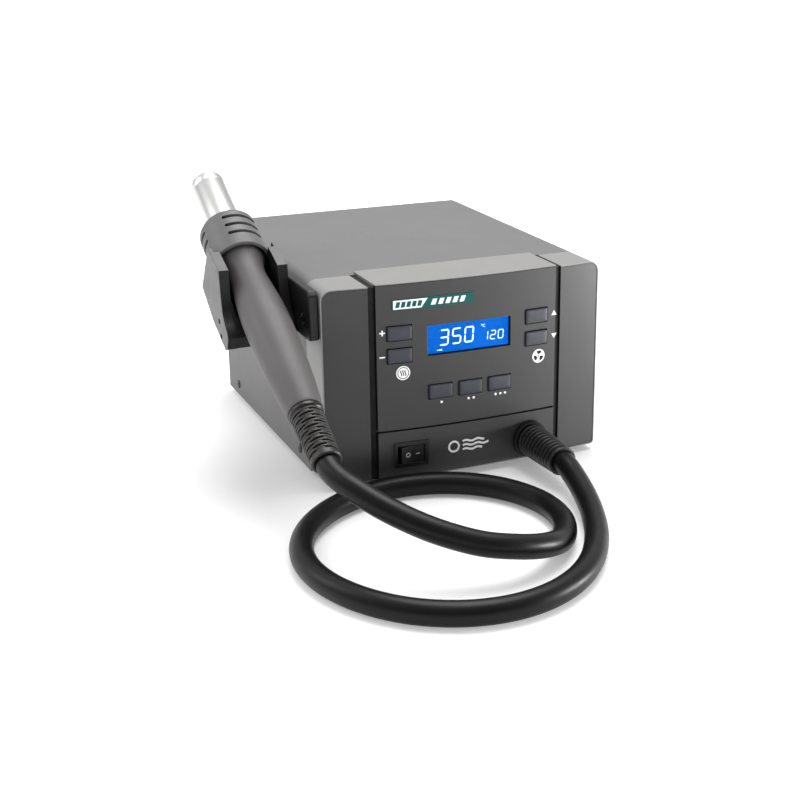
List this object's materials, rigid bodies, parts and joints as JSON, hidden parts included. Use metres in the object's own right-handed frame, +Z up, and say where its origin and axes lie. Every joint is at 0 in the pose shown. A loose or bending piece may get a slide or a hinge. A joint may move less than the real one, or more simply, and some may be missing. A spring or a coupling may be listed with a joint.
{
  "type": "hot air station",
  "caption": "Bench hot air rework station: boxy grey blower unit with bowed keypad front, side cradle holding a vented heater handpiece, and a looped black air hose.",
  "frame": {"origin": "centre of the object's own box (hose left out) at table height, under the feet", "axes": "+X across the width to the right as seen from the front, the front faces -Y, +Z up"},
  "size_m": [0.2441, 0.4275, 0.1799],
  "materials": {
    "steel_painted_grey": "satin powder coat",
    "steel_zinc": "zinc plated",
    "bezel_light_grey": "fine texture",
    "fascia_dark_grey": "fine texture",
    "trim_black": "satin",
    "label_teal": "printed film",
    "window_blue": "clear",
    "lcd_blue": "backlit",
    "board_green": "solder mask",
    "key_grey": "satin",
    "plastic_black": "satin",
    "boot_black": "glossy rubber",
    "hose_black": "silicone",
    "impeller_grey": "moulded",
    "motor_silver": "turned",
    "core_steel": "varnished laminations",
    "coil_copper": "enamelled wire",
    "fuse_glass": "clear",
    "bracket_black": "satin",
    "cradle_grey": "glass-filled",
    "handle_warm_grey": "soft texture",
    "collar_grey": "heat-resistant",
    "tube_steel": "polished stainless",
    "mica_tan": "mica sheet",
    "core_ceramic": "fired",
    "heater_wire": "resistance wire"
  },
  "bodies": {
    "station": {"base_tray": "steel_zinc", "case_cover": "steel_painted_grey", "rear_panel": "steel_painted_grey", "front_bezel": "bezel_light_grey", "groove_trim": "trim_black", "left_fascia": "fascia_dark_grey", "right_fascia": "fascia_dark_grey", "control_panel": "fascia_dark_grey", "lower_panel": "fascia_dark_grey", "label_plate": "label_teal", "display_window": "window_blue", "lcd_module": "lcd_blue", "control_board": "board_green", "key_switches": "key_grey", "switch_frame": "plastic_black", "hose_gland": "plastic_black", "gland_nut": "plastic_black", "panel_boot": "boot_black", "air_hose": "hose_black", "air_duct": "hose_black", "blower_housing": "plastic_black", "blower_cover": "plastic_black", "blower_motor": "motor_silver", "transformer_core": "core_steel", "transformer_coil": "coil_copper", "power_board": "board_green", "heat_sink": "motor_silver", "board_spacers": "steel_zinc", "mains_inlet": "plastic_black", "inlet_pins": "steel_zinc", "rubber_feet": "trim_black", "foot_screws": "steel_zinc", "case_screws": "steel_zinc", "cradle_bracket": "bracket_black", "left_cheek": "cradle_grey", "right_cheek": "cradle_grey", "cradle_saddle": "cradle_grey", "cradle_screws": "steel_zinc", "cradle_magnet": "steel_zinc"},
    "temp_up_key": {"temp_up_key": "key_grey"},
    "temp_down_key": {"temp_down_key": "key_grey"},
    "air_up_key": {"air_up_key": "key_grey"},
    "air_down_key": {"air_down_key": "key_grey"},
    "channel_1_key": {"channel_1_key": "key_grey"},
    "channel_2_key": {"channel_2_key": "key_grey"},
    "channel_3_key": {"channel_3_key": "key_grey"},
    "rocker": {"power_rocker": "plastic_black"},
    "handpiece": {"handle_shell_left": "handle_warm_grey", "handle_shell_right": "handle_warm_grey", "front_collar": "collar_grey", "heater_tube": "tube_steel", "mica_sleeve": "mica_tan", "heater_core": "core_ceramic", "heater_coil": "heater_wire", "handle_board": "board_green", "handle_end_ring": "plastic_black", "handle_boot": "boot_black"},
    "impeller": {"blower_impeller": "impeller_grey"},
    "fuse_carrier": {"fuse_drawer": "plastic_black", "fuse": "fuse_glass"}
  },
  "joints": [
    {"name": "temp_up_key_press", "type": "slide", "parent": "station", "child": "temp_up_key", "axis": [0, 1, 0], "range_m": [0, 0.0012], "stiffness_N_per_m": 500, "springref_m": -0.002},
    {"name": "temp_down_key_press", "type": "slide", "parent": "station", "child": "temp_down_key", "axis": [0, 1, 0], "range_m": [0, 0.0012], "stiffness_N_per_m": 500, "springref_m": -0.002},
    {"name": "air_up_key_press", "type": "slide", "parent": "station", "child": "air_up_key", "axis": [0, 1, 0], "range_m": [0, 0.0012], "stiffness_N_per_m": 500, "springref_m": -0.002},
    {"name": "air_down_key_press", "type": "slide", "parent": "station", "child": "air_down_key", "axis": [0, 1, 0], "range_m": [0, 0.0012], "stiffness_N_per_m": 500, "springref_m": -0.002},
    {"name": "channel_1_key_press", "type": "slide", "parent": "station", "child": "channel_1_key", "axis": [0, 1, 0], "range_m": [0, 0.0012], "stiffness_N_per_m": 500, "springref_m": -0.002},
    {"name": "channel_2_key_press", "type": "slide", "parent": "station", "child": "channel_2_key", "axis": [0, 1, 0], "range_m": [0, 0.0012], "stiffness_N_per_m": 500, "springref_m": -0.002},
    {"name": "channel_3_key_press", "type": "slide", "parent": "station", "child": "channel_3_key", "axis": [0, 1, 0], "range_m": [0, 0.0012], "stiffness_N_per_m": 500, "springref_m": -0.002},
    {"name": "rocker_tip", "type": "hinge", "parent": "station", "child": "rocker", "pos_m": [-0.01441, -0.06967, 0.02], "axis": [0, 0, -1], "range_deg": [0, 18]},
    {"name": "handpiece_lift", "type": "slide", "parent": "station", "child": "handpiece", "axis": [0, -0.4446, 0.8957], "range_m": [0, 0.06], "deforming": ["air_hose"]},
    {"name": "blower_spin", "type": "hinge", "parent": "station", "child": "impeller", "pos_m": [0.0405, 0.056, 0.02], "axis": [0, 0, 1], "continuous": true},
    {"name": "fuse_drawer_slide", "type": "slide", "parent": "station", "child": "fuse_carrier", "axis": [0, 1, 0], "range_m": [0, 0.016]}
  ]
}
